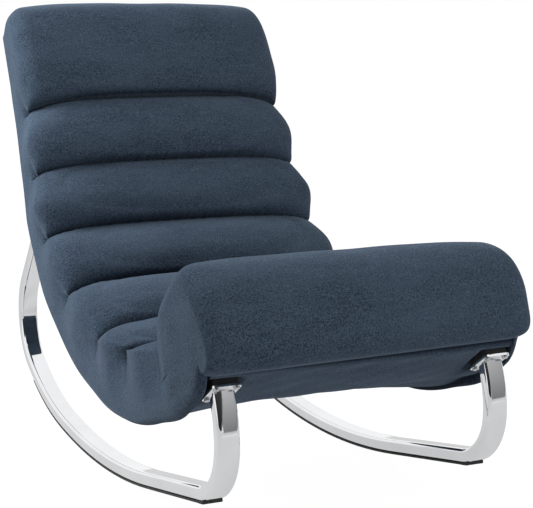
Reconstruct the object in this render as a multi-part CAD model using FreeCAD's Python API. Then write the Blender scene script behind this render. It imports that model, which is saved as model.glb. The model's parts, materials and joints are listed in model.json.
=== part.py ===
import FreeCAD, Part
import math
import os

from FreeCAD import Placement, Rotation, Vector

# Channel-padded rocking chaise on two bent tube runners, in millimetres.
# +Z is up and the foot end faces -Y. The origin is on the floor, in the middle of the chair's box.
# The side profile is first laid out from the point where the runners touch the floor.

# Shell: a straight back that runs tangent into one seat arc
SHELL_WIDTH = 600.0
SEAT_RADIUS = 635.0
SEAT_LOW_HEIGHT = 142.0
SEAT_LOW_AHEAD = 218.0
BACK_ANGLE = 60.7
HEAD_TOP = 453.0

# Padding rolls, as lengths measured along the back face of the shell
HEAD_ROLL_LENGTH = 246.0
BACK_ROLL_LENGTHS = (148.0, 166.0, 196.0)
SEAT_ROLL_LENGTHS = (228.0, 202.0, 193.0)
FOOT_ROLL_LENGTH = 300.0
ROLL_GAP = 0.6
SEAM_SIDE_DROP = 14.0

# Depths measured from the back face of the shell
VALLEY_AT_HEAD = 84.0
VALLEY_AT_FOOT = 110.0
VALLEY_SWELL = 38.0
CREST_RISE_SIDE = 12.0
CREST_RISE_MID = 40.0
HEAD_CREST_SIDE = 104.0
HEAD_CREST_MID = 160.0
HEAD_NOSE_DEPTH = 76.0
HEAD_SHOULDER = 40.0
FOOT_CREST_SIDE = 152.0
FOOT_CREST_MID = 212.0
FOOT_NOSE_DEPTH = 112.0
FOOT_SHOULDER = 84.0
HEAD_DRAW_IN = 24.0
FOOT_DRAW_IN = 14.0
CROWN_POWER = 3.0
CROWN_STATIONS = (0.0, 0.62, 0.88, 1.0)

# Where the end rolls' arcs bulge: a share of the arc's length, then a share of its depth
HEAD_REAR_BULGE = (0.72, 0.36)
HEAD_FRONT_BULGE = (0.22, 0.68)
HEAD_FACE_BULGE = 0.45
FOOT_LOWER_BULGE = (0.66, 0.36)
FOOT_UPPER_BULGE = (0.2, 0.72)
FOOT_REAR_BULGE = (0.42, 0.78)

# Upholstered edges and cover
SIDE_PAD = 16.0
SIDE_PAD_ROUND = 9.0
SIDE_PAD_LIP_ROUND = 5.0
COVER_RECESS = 18.0
COVER_THICKNESS = 2.0
SOFT_GAP = 0.3
HEAD_COVERING = 34.0
FOOT_SEAM_GAP = 1.0

# Wooden frame inside the shell
RAIL_THICKNESS = 18.0
RAIL_DEPTH = 44.0
CROSS_RAIL_WIDTH = 24.0
SEAT_RAIL_STATION = -543.0
BOARD_THICKNESS = 18.0
BOARD_WIDTH = 96.0
BOARD_MARGIN = 1.0
WOOD_GAP = 0.2
STRAP_WIDTH = 50.0
STRAP_THICKNESS = 2.0
STRAP_COUNT = 15
STRAP_HEAD_MARGIN = 66.0
STRAP_FOOT_MARGIN = 176.0

# Runner tube and its path
RUNNER_INSET = 44.0
TUBE_WIDTH = 40.0
TUBE_HEIGHT = 25.0
TUBE_WALL = 2.0
TUBE_CORNER = 7.0
ROCKER_RADIUS = 1700.0
ROCKER_FRONT_ANGLE = 10.0
ROCKER_REAR_ANGLE = 8.0
FRONT_STRAIGHT = 256.0
FRONT_BEND_RADIUS = 100.0
LEG_BOW_RADIUS = 200.0
LEG_LEAN = 25.0
HEEL_RADIUS = 630.0
HEEL_ANGLE = 30.0
REAR_BEND_RADIUS = 122.0
RISER_ANGLE = 132.0

# Floor strip under each runner
STRIP_WIDTH = 36.0
STRIP_THICKNESS = 4.0
STRIP_OVERHANG = 18.0
STRIP_HEEL_ANGLE = 26.0

# Mounting plates, spacers and fasteners
PLATE_WIDTH = 52.0
PLATE_LENGTH = 64.0
PLATE_THICKNESS = 4.0
PLATE_CORNER = 8.0
FRONT_PLATE_TILT = 4.5
FRONT_PLATE_STANDOFF = 5.2
REAR_PLATE_STANDOFF = 6.0
SPACER_MARGIN = 3.0
SPACER_CORNER = 5.0
BOLT_SPREAD_X = 36.0
BOLT_SPREAD_Y = 46.0
BOLT_DIAMETER = 6.0
BOLT_HEAD_DIAMETER = 10.5
BOLT_HEAD_HEIGHT = 3.6
BOLT_HEAD_BEVEL = 0.9
BOLT_HOLE = 6.6
NUT_BARREL_DIAMETER = 8.0
NUT_BARREL_LENGTH = 10.0
NUT_FLANGE_DIAMETER = 18.0
NUT_FLANGE_THICKNESS = 1.6
NUT_BORE = 6.2
FIT_GAP = 0.2

# Tolerances of the searches below
EDGE_REACH = 1.0
HALVINGS = 50

# Values worked out from the sizes above
HALF_WIDTH = SHELL_WIDTH / 2
FRAME_HALF_WIDTH = HALF_WIDTH - SIDE_PAD - SOFT_GAP
FRAME_OUTER = COVER_RECESS + COVER_THICKNESS + WOOD_GAP
FRAME_INNER = FRAME_OUTER + RAIL_DEPTH
PAD_BASE = FRAME_INNER + STRAP_THICKNESS + SOFT_GAP
FRAME_HEAD = HEAD_TOP - HEAD_COVERING
TUBE_AXIS_HEIGHT = STRIP_THICKNESS + TUBE_HEIGHT / 2
RUNNER_SPACING = SHELL_WIDTH - 2 * RUNNER_INSET
BACK = math.radians(BACK_ANGLE)
SEAT_CENTRE = (-SEAT_LOW_AHEAD, SEAT_LOW_HEIGHT + SEAT_RADIUS)


def roll_stations():
    """Stations of the channel seams from the head's top to the foot's nose."""
    stations = [HEAD_TOP]
    for length in (HEAD_ROLL_LENGTH, *BACK_ROLL_LENGTHS, *SEAT_ROLL_LENGTHS, FOOT_ROLL_LENGTH):
        stations.append(stations[-1] - length)
    return stations


STATIONS = roll_stations()
FOOT_END = STATIONS[-1]


def at(x, profile_point):
    """Space point from a lateral place and a (y, z) profile point."""
    return Vector(x, profile_point[0], profile_point[1])


def line(first, last):
    return Part.LineSegment(first, last).toShape()


def arc(first, middle, last):
    return Part.Arc(first, middle, last).toShape()


def shell_point(station, depth):
    """Profile point: station runs up the back from the seat arc's end, depth goes in from the back face."""
    angle = BACK + min(station, 0.0) / SEAT_RADIUS
    radius = SEAT_RADIUS - depth
    rise = max(station, 0.0)
    y = SEAT_CENTRE[0] + radius * math.sin(angle) + rise * math.cos(BACK)
    z = SEAT_CENTRE[1] - radius * math.cos(angle) + rise * math.sin(BACK)
    return (y, z)


def run_edges(start, end, depth, x):
    """Edges along the shell at one depth: straight up the back, an arc round the seat."""
    stops = [start, 0.0, end] if start * end < 0 else [start, end]
    edges = []
    for a, b in zip(stops, stops[1:]):
        first = at(x, shell_point(a, depth))
        last = at(x, shell_point(b, depth))
        if max(a, b) > 0:
            edges.append(line(first, last))
        else:
            edges.append(arc(first, at(x, shell_point((a + b) / 2, depth)), last))
    return edges


def band(start, end, outer, inner, left, right):
    """Solid strip of the shell between two stations and two depths, from left to right."""
    corner = lambda station, depth: at(left, shell_point(station, depth))
    edges = run_edges(start, end, outer, left)
    edges.append(line(corner(end, outer), corner(end, inner)))
    edges += run_edges(end, start, inner, left)
    edges.append(line(corner(start, inner), corner(start, outer)))
    return Part.Face(Part.Wire(edges)).extrude(Vector(right - left, 0, 0))


# Padding rolls


def crown(x):
    """Share of the crown at a lateral place: 1 in the middle, 0 at the sides."""
    reach = min(abs(x) / HALF_WIDTH, 1.0)
    return (1.0 - reach ** CROWN_POWER) ** (1.0 / CROWN_POWER)


def between(side, middle, share):
    return side + (middle - side) * share


def valley_depth(number, share):
    """Depth of a channel seam, counted from the head; the last seam is the foot's."""
    last = len(STATIONS) - 2
    side = between(VALLEY_AT_HEAD, VALLEY_AT_FOOT, (number - 1) / (last - 1))
    return side + VALLEY_SWELL * share


def loft_across(section):
    """Solid through the sections that a function draws from one side of the chair to the other."""
    shares = sorted({-share for share in CROWN_STATIONS} | set(CROWN_STATIONS))
    wires = [Part.Wire(section(share * HALF_WIDTH)) for share in shares]
    return Part.makeLoft(wires, True, False)


def middle_roll(number):
    """A back or seat roll between the seams number and number + 1."""
    top = STATIONS[number] - ROLL_GAP / 2
    bottom = STATIONS[number + 1] + ROLL_GAP / 2

    def section(x):
        share = crown(x)
        drop = SEAM_SIDE_DROP * (1 - share)
        upper = valley_depth(number, share)
        lower = valley_depth(number + 1, share)
        rise = between(CREST_RISE_SIDE, CREST_RISE_MID, share)
        place = lambda station, depth: at(x, shell_point(station, depth))
        upper_seam = place(top - drop, upper)
        lower_seam = place(bottom - drop, lower)
        crest = place((top + bottom) / 2 - drop, (upper + lower) / 2 + rise)
        return run_edges(bottom, top, PAD_BASE, x) + [
            line(place(top, PAD_BASE), upper_seam),
            arc(upper_seam, crest, lower_seam),
            line(lower_seam, place(bottom, PAD_BASE)),
        ]

    return loft_across(section)


def head_roll():
    """The top roll, which turns over the frame's upper end to the back face."""
    base = STATIONS[1] + ROLL_GAP / 2
    hook = FRAME_HEAD + SOFT_GAP

    def section(x):
        share = crown(x)
        seam = base - SEAM_SIDE_DROP * (1 - share)
        top = HEAD_TOP - HEAD_DRAW_IN * (1 - share)
        crest = between(HEAD_CREST_SIDE, HEAD_CREST_MID, share)
        valley = valley_depth(1, share)
        shoulder = top - HEAD_SHOULDER
        place = lambda station, depth: at(x, shell_point(station, depth))
        rear = place(between(hook, top, HEAD_REAR_BULGE[0]), HEAD_NOSE_DEPTH * HEAD_REAR_BULGE[1])
        front_depth = between(HEAD_NOSE_DEPTH, crest, HEAD_FRONT_BULGE[1])
        front = place(top - HEAD_SHOULDER * HEAD_FRONT_BULGE[0], front_depth)
        face = place(between(seam, shoulder, HEAD_FACE_BULGE), crest)
        return [
            line(place(base, PAD_BASE), place(hook, PAD_BASE)),
            line(place(hook, PAD_BASE), place(hook, 0.0)),
            arc(place(hook, 0.0), rear, place(top, HEAD_NOSE_DEPTH)),
            arc(place(top, HEAD_NOSE_DEPTH), front, place(shoulder, crest)),
            arc(place(shoulder, crest), face, place(seam, valley)),
            line(place(seam, valley), place(base, PAD_BASE)),
        ]

    return loft_across(section)


def foot_bolster(frame_foot):
    """The tall end roll, which turns down over the frame's foot end to the underside seam."""
    base = STATIONS[-2] - ROLL_GAP / 2
    hook = frame_foot - SOFT_GAP

    def section(x):
        share = crown(x)
        seam = base - SEAM_SIDE_DROP * (1 - share)
        end = FOOT_END + FOOT_DRAW_IN * (1 - share)
        crest = between(FOOT_CREST_SIDE, FOOT_CREST_MID, share)
        valley = valley_depth(len(STATIONS) - 2, share)
        shoulder = end + FOOT_SHOULDER
        place = lambda station, depth: at(x, shell_point(station, depth))
        lower = place(between(hook, end, FOOT_LOWER_BULGE[0]), FOOT_NOSE_DEPTH * FOOT_LOWER_BULGE[1])
        upper_depth = between(FOOT_NOSE_DEPTH, crest, FOOT_UPPER_BULGE[1])
        upper = place(end + FOOT_SHOULDER * FOOT_UPPER_BULGE[0], upper_depth)
        rear = place(between(seam, shoulder, FOOT_REAR_BULGE[0]), between(valley, crest, FOOT_REAR_BULGE[1]))
        return run_edges(base, hook, PAD_BASE, x) + [
            line(place(hook, PAD_BASE), place(hook, COVER_RECESS)),
            arc(place(hook, COVER_RECESS), lower, place(end, FOOT_NOSE_DEPTH)),
            arc(place(end, FOOT_NOSE_DEPTH), upper, place(shoulder, crest)),
            arc(place(shoulder, crest), rear, place(seam, valley)),
            line(place(seam, valley), place(base, PAD_BASE)),
        ]

    return loft_across(section)


def edges_along(shape, x, depth, start, end):
    """Edges of a band that run along the shell at one lateral place and one depth."""
    marks = [at(x, shell_point(station, depth)) for station in (start / 2, end / 2)]
    found = []
    for edge in shape.Edges:
        middle = edge.valueAt((edge.FirstParameter + edge.LastParameter) / 2)
        if min(middle.distanceToPoint(mark) for mark in marks) < EDGE_REACH:
            found.append(edge)
    return found


def side_pad(side, frame_foot):
    """Padded edge strip that covers the frame's side, rounded along both edges of its back face."""
    outer = side * HALF_WIDTH
    inner = outer - side * SIDE_PAD
    strip = band(FRAME_HEAD, frame_foot, 0.0, PAD_BASE - SOFT_GAP, outer, inner)
    strip = strip.makeFillet(SIDE_PAD_ROUND, edges_along(strip, outer, 0.0, FRAME_HEAD, frame_foot))
    return strip.makeFillet(SIDE_PAD_LIP_ROUND, edges_along(strip, inner, 0.0, FRAME_HEAD, frame_foot))


# Runner tube, floor strip and the path that they follow


def turned(point, angle, distance):
    return (point[0] + distance * math.cos(angle), point[1] + distance * math.sin(angle))


def shell_place(point):
    """Station and depth of a profile point, the reverse of shell_point."""
    y = point[0] - SEAT_CENTRE[0]
    z = point[1] - SEAT_CENTRE[1]
    rise = y * math.cos(BACK) + z * math.sin(BACK)
    if rise > 0:
        return rise, SEAT_RADIUS - y * math.sin(BACK) + z * math.cos(BACK)
    return SEAT_RADIUS * (math.atan2(y, -z) - BACK), SEAT_RADIUS - math.hypot(y, z)


def slope_at(station):
    """Slope of the shell at a station, in degrees from the floor, rising to the rear."""
    return BACK_ANGLE + math.degrees(min(station, 0.0) / SEAT_RADIUS)


def length_to_plate(route, standoff):
    """Length along a route, by halving the range, at which it comes within a plate's standoff of the shell."""
    low, high = 0.0, SEAT_RADIUS
    for _ in range(HALVINGS):
        middle = (low + high) / 2
        if shell_place(route(middle))[1] < -standoff:
            low = middle
        else:
            high = middle
    return low


def leg_point(foot, length):
    """Point of the leg's axis at a length up from the front bend, and the leg's lean there."""
    lean = min(length / LEG_BOW_RADIUS, math.radians(LEG_LEAN))
    centre = turned(foot, 0.0, LEG_BOW_RADIUS)
    bowed = turned(centre, math.pi - lean, LEG_BOW_RADIUS)
    return turned(bowed, math.pi / 2 - lean, length - lean * LEG_BOW_RADIUS), lean


def runner_path():
    """Spans of the tube's axis by name, from the leg's top to the rear riser, and where it meets the plates.

    A span is its kind, start, heading, length or radius, and sweep.
    Headings are profile angles from +Y. An arc turns to its left about a centre at its radius.
    The leg and the riser are a little long here: their plates' planes cut them.
    """
    contact = (0.0, TUBE_AXIS_HEIGHT)
    radius = ROCKER_RADIUS - TUBE_AXIS_HEIGHT
    front = math.radians(ROCKER_FRONT_ANGLE)
    rear = math.radians(ROCKER_REAR_ANGLE)
    heel = math.radians(HEEL_ANGLE)
    rocker_centre = turned(contact, math.pi / 2, radius)
    rocker_start = turned(rocker_centre, -math.pi / 2 - front, radius)
    straight_start = turned(rocker_start, -front, -FRONT_STRAIGHT)
    bend_centre = turned(straight_start, math.pi / 2 - front, FRONT_BEND_RADIUS)
    leg_foot = turned(bend_centre, math.pi, FRONT_BEND_RADIUS)
    length = length_to_plate(lambda reach: leg_point(leg_foot, reach)[0], FRONT_PLATE_STANDOFF)
    plate_point, lean = leg_point(leg_foot, length)
    heading = -math.pi / 2 - lean
    spans = {
        "leg": ("line", length - lean * LEG_BOW_RADIUS + TUBE_HEIGHT, 0.0),
        "bow": ("arc", LEG_BOW_RADIUS, lean),
        "front_bend": ("arc", FRONT_BEND_RADIUS, math.pi / 2 - front),
        "straight": ("line", FRONT_STRAIGHT, 0.0),
        "rocker": ("arc", radius, front + rear),
        "heel": ("arc", HEEL_RADIUS, heel - rear),
        "rear_bend": ("arc", REAR_BEND_RADIUS, math.radians(RISER_ANGLE) - heel),
    }
    path = {}
    point = turned(plate_point, heading, -TUBE_HEIGHT)
    for name, (kind, size, sweep) in spans.items():
        path[name] = (kind, point, heading, size, sweep)
        if kind == "line":
            point = turned(point, heading, size)
        else:
            centre = turned(point, heading + math.pi / 2, size)
            heading += sweep
            point = turned(centre, heading - math.pi / 2, size)
    rise = length_to_plate(lambda reach: turned(point, heading, reach), REAR_PLATE_STANDOFF)
    path["riser"] = ("line", point, heading, rise + TUBE_HEIGHT, 0.0)
    return path, plate_point, turned(point, heading, rise)


def rounded_rectangle(width, height, radius):
    """Face in the XY plane, centred, with round corners."""
    x, y = width / 2, height / 2
    diagonal = radius * (1 - math.sqrt(0.5))
    edges = []
    for sx, sy in ((1, -1), (1, 1), (-1, 1), (-1, -1)):
        before = Vector(sx * x, sy * (y - radius), 0)
        after = Vector(sx * (x - radius), sy * y, 0)
        if sx != sy:
            before, after = after, before
        corner = arc(before, Vector(sx * (x - diagonal), sy * (y - diagonal), 0), after)
        if edges:
            edges.append(line(edges[-1].Vertexes[-1].Point, before))
        edges.append(corner)
    edges.append(line(edges[-1].Vertexes[-1].Point, edges[0].Vertexes[0].Point))
    return Part.Face(Part.Wire(edges))


def bevelled_rectangle(width, height, bevel):
    """Face in the XY plane, centred, with its corners cut off."""
    x, y = width / 2, height / 2
    points = []
    for sx, sy in ((1, -1), (1, 1), (-1, 1), (-1, -1)):
        pair = [Vector(sx * x, sy * (y - bevel), 0), Vector(sx * (x - bevel), sy * y, 0)]
        points += pair if sx == sy else pair[::-1]
    return Part.Face(Part.makePolygon(points + points[:1]))


def swept(section, spans):
    """Sweep a face, drawn across the path in XY with +Y to the path's left, along lines and arcs."""
    pieces = []
    for kind, point, heading, size, sweep in spans:
        face = section.copy()
        frame = FreeCAD.Matrix(
            1, 0, 0, 0,
            0, -math.sin(heading), math.cos(heading), point[0],
            0, math.cos(heading), math.sin(heading), point[1],
            0, 0, 0, 1)
        face.transformShape(frame)
        if kind == "line":
            pieces.append(face.extrude(at(0, turned((0, 0), heading, size))))
        else:
            centre = turned(point, heading + math.pi / 2, size)
            pieces.append(face.revolve(at(0, centre), Vector(1, 0, 0), math.degrees(sweep)))
    whole = pieces[0].multiFuse(pieces[1:])
    return whole.removeSplitter()


def beyond_plate():
    """A block over a plate's outer face, large enough to trim the tube's spare length."""
    size = PLATE_LENGTH + 2 * TUBE_WIDTH
    return Part.makeBox(size, size, size, Vector(-size / 2, -size / 2, 0))


def strip_spans(path):
    """The stretch of the path that carries the floor strip: the straight, the rocker and part of the heel."""
    kind, point, heading, size, sweep = path["heel"]
    heel = (kind, point, heading, size, math.radians(STRIP_HEEL_ANGLE - ROCKER_REAR_ANGLE))
    return [path["straight"], path["rocker"], heel]


def floor_strip(path, solid_tube):
    """Flat strip under the runner, with a squared end that fills in below the front bend."""
    section = rounded_rectangle(STRIP_WIDTH, STRIP_THICKNESS, STRIP_THICKNESS / 4)
    section.translate(Vector(0, -(TUBE_HEIGHT + STRIP_THICKNESS) / 2, 0))
    strip = swept(section, strip_spans(path))
    kind, point, heading, size, sweep = path["straight"]
    end_block = Part.makeBox(STRIP_WIDTH, STRIP_OVERHANG, STRIP_THICKNESS * 2)
    end = turned(point, heading, -STRIP_OVERHANG)
    low = turned(end, heading - math.pi / 2, TUBE_HEIGHT / 2 + STRIP_THICKNESS)
    end_block.Placement = Placement(at(-STRIP_WIDTH / 2, low), Rotation(Vector(1, 0, 0), math.degrees(heading)))
    return strip.fuse(end_block.cut(solid_tube)).removeSplitter()


# Plates, spacers, boards and fasteners, each stacked along a plate's normal


def bolt_places():
    return [(sx * BOLT_SPREAD_X / 2, sy * BOLT_SPREAD_Y / 2) for sx in (-1, 1) for sy in (-1, 1)]


def drilled(shape, diameter, low, high):
    """Cut the four bolt holes of a plate through a shape, between two heights."""
    for x, y in bolt_places():
        shape = shape.cut(Part.makeCylinder(diameter / 2, high - low, Vector(x, y, low)))
    return shape


def slab(width, length, corner, low, high):
    face = rounded_rectangle(width, length, corner)
    face.translate(Vector(0, 0, low))
    return face.extrude(Vector(0, 0, high - low))


def mounting_plate():
    plate = slab(PLATE_WIDTH, PLATE_LENGTH, PLATE_CORNER, 0.0, PLATE_THICKNESS)
    return drilled(plate, BOLT_HOLE, 0.0, PLATE_THICKNESS)


def spacer_block(height):
    top = PLATE_THICKNESS + height
    width = PLATE_WIDTH - 2 * SPACER_MARGIN
    length = PLATE_LENGTH - 2 * SPACER_MARGIN
    block = slab(width, length, SPACER_CORNER, PLATE_THICKNESS, top)
    return drilled(block, BOLT_HOLE, PLATE_THICKNESS, top)


def spacer_clearance(height):
    """The room that a spacer takes in the cover and the rails."""
    width = PLATE_WIDTH - 2 * SPACER_MARGIN + 2 * FIT_GAP
    length = PLATE_LENGTH - 2 * SPACER_MARGIN + 2 * FIT_GAP
    return slab(width, length, SPACER_CORNER, PLATE_THICKNESS, PLATE_THICKNESS + height)


def bolt(height):
    """Round-headed bolt from under the plate to the tee nut's far end."""
    length = PLATE_THICKNESS + height + BOARD_THICKNESS + NUT_FLANGE_THICKNESS
    head = Part.makeCylinder(BOLT_HEAD_DIAMETER / 2, BOLT_HEAD_HEIGHT, Vector(0, 0, -BOLT_HEAD_HEIGHT))
    rim = [edge for edge in head.Edges if edge.BoundBox.ZMax < -BOLT_HEAD_HEIGHT / 2]
    shank = Part.makeCylinder(BOLT_DIAMETER / 2, length)
    return head.makeChamfer(BOLT_HEAD_BEVEL, rim).fuse(shank)


def tee_nut(height):
    """Threaded barrel sunk in the board, with a flange on the board's inner face."""
    top = PLATE_THICKNESS + height + BOARD_THICKNESS
    low = Vector(0, 0, top - NUT_BARREL_LENGTH)
    barrel = Part.makeCylinder(NUT_BARREL_DIAMETER / 2, NUT_BARREL_LENGTH, low)
    flange = Part.makeCylinder(NUT_FLANGE_DIAMETER / 2, NUT_FLANGE_THICKNESS, Vector(0, 0, top))
    bore = Part.makeCylinder(NUT_BORE / 2, NUT_BARREL_LENGTH * 2, low)
    return barrel.fuse(flange).cut(bore)


def mounting_board(height):
    """Full-width board, drilled for the bolts of both runners and counterbored for their nuts."""
    low = PLATE_THICKNESS + height
    board = Part.makeBox(
        FRAME_HALF_WIDTH * 2, BOARD_WIDTH, BOARD_THICKNESS, Vector(-FRAME_HALF_WIDTH, -BOARD_WIDTH / 2, low))
    seat_low = low + BOARD_THICKNESS - NUT_BARREL_LENGTH - FIT_GAP
    seat_radius = NUT_BARREL_DIAMETER / 2 + FIT_GAP
    for side in (-1, 1):
        for x, y in bolt_places():
            place = Vector(side * RUNNER_SPACING / 2 + x, y, 0)
            hole = Part.makeCylinder(BOLT_HOLE / 2, BOARD_THICKNESS, place + Vector(0, 0, low))
            seat = Part.makeCylinder(seat_radius, BOARD_THICKNESS, place + Vector(0, 0, seat_low))
            board = board.cut(hole).cut(seat)
    return board


def board_clearance(height):
    """The notch that a board and its nuts take out of the outer part of the side rails."""
    top = PLATE_THICKNESS + height + BOARD_THICKNESS
    depth = NUT_FLANGE_THICKNESS + FIT_GAP + top
    return Part.makeBox(
        SHELL_WIDTH, BOARD_WIDTH + 2 * FIT_GAP, depth, Vector(-HALF_WIDTH, -BOARD_WIDTH / 2 - FIT_GAP, 0))


def spacer_height(standoff, tilt):
    """Height that brings a board just inside the cover, over its whole width."""
    lean = BOARD_WIDTH / 2 * math.sin(math.radians(tilt))
    sagitta = BOARD_WIDTH ** 2 / (8 * SEAT_RADIUS)
    return standoff - PLATE_THICKNESS + COVER_RECESS + COVER_THICKNESS + lean + sagitta + BOARD_MARGIN


def placed(shape, point, turn, x=0.0):
    """Copy of a shape that was drawn on a plate's plane, set at a profile point and turned about X."""
    copy = shape.copy()
    copy.Placement = Placement(at(x, point), Rotation(Vector(1, 0, 0), turn))
    return copy


def strap_stations(frame_foot):
    top = FRAME_HEAD - STRAP_HEAD_MARGIN
    pitch = (top - frame_foot - STRAP_FOOT_MARGIN) / (STRAP_COUNT - 1)
    return [top - pitch * number for number in range(STRAP_COUNT)]


def front_stack_point(plate_point, slope, along, height):
    """Profile point at a place along the front plate, rearward, and a height over its outer face."""
    tilt = math.radians(slope)
    return turned(turned(plate_point, tilt + math.pi / 2, height), tilt, along)


def frame_foot_station(plate_point, slope, spacer):
    """The frame ends just past the front board's edge."""
    low = PLATE_THICKNESS + spacer
    heights = (low, low + BOARD_THICKNESS)
    corners = [front_stack_point(plate_point, slope, -BOARD_WIDTH / 2, height) for height in heights]
    return min(shell_place(corner)[0] for corner in corners) - FOOT_SEAM_GAP


def foot_rail_depth(plate_point, slope, spacer):
    """Depth of the foot rail's underside, which clears the front board and its nuts."""
    height = PLATE_THICKNESS + spacer + BOARD_THICKNESS + NUT_FLANGE_THICKNESS
    places = (-BOARD_WIDTH / 2, CROSS_RAIL_WIDTH - BOARD_WIDTH / 2)
    tops = [front_stack_point(plate_point, slope, place, height) for place in places]
    return max(shell_place(top)[1] for top in tops) + WOOD_GAP


def build():
    """All solids of the chair by node name, laid out from the floor contact."""
    path, front_point, rear_point = runner_path()
    slope = slope_at(shell_place(front_point)[0]) + FRONT_PLATE_TILT
    front_spacer = spacer_height(FRONT_PLATE_STANDOFF, FRONT_PLATE_TILT)
    frame_foot = frame_foot_station(front_point, slope, front_spacer)
    mounts = {
        "front": (front_point, slope, front_spacer),
        "rear": (rear_point, slope_at(shell_place(rear_point)[0]), spacer_height(REAR_PLATE_STANDOFF, 0.0)),
    }
    sides = {"left": -1, "right": 1}

    nodes = {"head_roll": head_roll()}
    names = ["back_roll_upper", "back_roll_middle", "back_roll_lower"]
    names += ["seat_roll_rear", "seat_roll_middle", "seat_roll_front"]
    for number, name in enumerate(names, start=1):
        nodes[name] = middle_roll(number)
    nodes["foot_bolster"] = foot_bolster(frame_foot)

    across = (-FRAME_HALF_WIDTH, FRAME_HALF_WIDTH)
    cover = band(FRAME_HEAD, frame_foot, COVER_RECESS, COVER_RECESS + COVER_THICKNESS, *across)
    rails = {}
    for name, side in sides.items():
        nodes["side_pad_" + name] = side_pad(side, frame_foot)
        outer = side * FRAME_HALF_WIDTH
        inner = outer - side * RAIL_THICKNESS
        rails[name] = band(FRAME_HEAD, frame_foot, FRAME_OUTER, FRAME_INNER, outer, inner)

    outline = rounded_rectangle(TUBE_WIDTH, TUBE_HEIGHT, TUBE_CORNER)
    hollow = bevelled_rectangle(TUBE_WIDTH - 2 * TUBE_WALL, TUBE_HEIGHT - 2 * TUBE_WALL, TUBE_CORNER / 2)
    solid_tube = swept(outline, path.values())
    tube = solid_tube.cut(swept(hollow, path.values()))
    strip = floor_strip(path, solid_tube)

    bolts = []
    nuts = []
    for end, (point, turn, spacer) in mounts.items():
        tube = tube.cut(placed(beyond_plate(), point, turn))
        nodes[end + "_mounting_board"] = placed(mounting_board(spacer), point, turn)
        for name, side in sides.items():
            x = side * RUNNER_SPACING / 2
            nodes["%s_plate_%s" % (end, name)] = placed(mounting_plate(), point, turn, x)
            nodes["%s_spacer_%s" % (end, name)] = placed(spacer_block(spacer), point, turn, x)
            cover = cover.cut(placed(spacer_clearance(spacer), point, turn, x))
            rails[name] = rails[name].cut(placed(board_clearance(spacer), point, turn))
            world = Placement(at(x, point), Rotation(Vector(1, 0, 0), turn))
            for bolt_x, bolt_y in bolt_places():
                local = Placement(Vector(bolt_x, bolt_y, 0), Rotation())
                for shape, group in ((bolt(spacer), bolts), (tee_nut(spacer), nuts)):
                    shape.Placement = world.multiply(local)
                    group.append(shape)

    reach = FRAME_HALF_WIDTH - RAIL_THICKNESS - WOOD_GAP
    foot_depth = foot_rail_depth(front_point, slope, front_spacer)
    cross_rails = {
        "head_rail": (FRAME_HEAD, FRAME_OUTER),
        "seat_rail": (SEAT_RAIL_STATION + CROSS_RAIL_WIDTH / 2, FRAME_OUTER),
        "foot_rail": (frame_foot + CROSS_RAIL_WIDTH, foot_depth),
    }
    for name, (start, depth) in cross_rails.items():
        nodes[name] = band(start, start - CROSS_RAIL_WIDTH, depth, FRAME_INNER, -reach, reach)

    half_strap = STRAP_WIDTH / 2
    strap_depth = FRAME_INNER + STRAP_THICKNESS
    straps = []
    for station in strap_stations(frame_foot):
        straps.append(band(station + half_strap, station - half_strap, FRAME_INNER, strap_depth, *across))

    nodes["back_cover"] = cover
    for name, side in sides.items():
        nodes["side_rail_" + name] = rails[name]
        x = side * RUNNER_SPACING / 2
        nodes["runner_tube_" + name] = tube.translated(Vector(x, 0, 0))
        nodes["floor_strip_" + name] = strip.translated(Vector(x, 0, 0))
    nodes["webbing_straps"] = Part.makeCompound(straps)
    nodes["plate_bolts"] = Part.makeCompound(bolts)
    nodes["tee_nuts"] = Part.makeCompound(nuts)
    return nodes, path, mounts


def main():
    nodes, path, mounts = build()
    box = FreeCAD.BoundBox()
    for shape in nodes.values():
        box.add(shape.optimalBoundingBox(True))
    shift = Vector(0, -box.Center.y, 0)
    os.makedirs("parts", exist_ok=True)
    for name, shape in nodes.items():
        shape.translate(shift)
        shape.exportStep("parts/%s.step" % name)
        print("%-20s solids %2d valid %s" % (name, len(shape.Solids), shape.isValid()))
    print("box", box.XLength, box.YLength, box.ZLength, "bottom", box.ZMin, "contact at y", shift.y)
    kind, point, heading, size, sweep = path["straight"]
    low = turned(turned(point, heading, size / 2), heading - math.pi / 2, TUBE_HEIGHT / 2 + STRIP_THICKNESS)
    print("front straight underside centre", low[0] + shift.y, low[1])
    for name, (point, turn, spacer) in mounts.items():
        print(name, "plate centre", point[0] + shift.y, point[1], "turn", turn, "spacer", spacer)


main()
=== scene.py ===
import json
import math

import bmesh
import bpy
import numpy as np
from mathutils import Euler, Matrix, Vector

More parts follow.
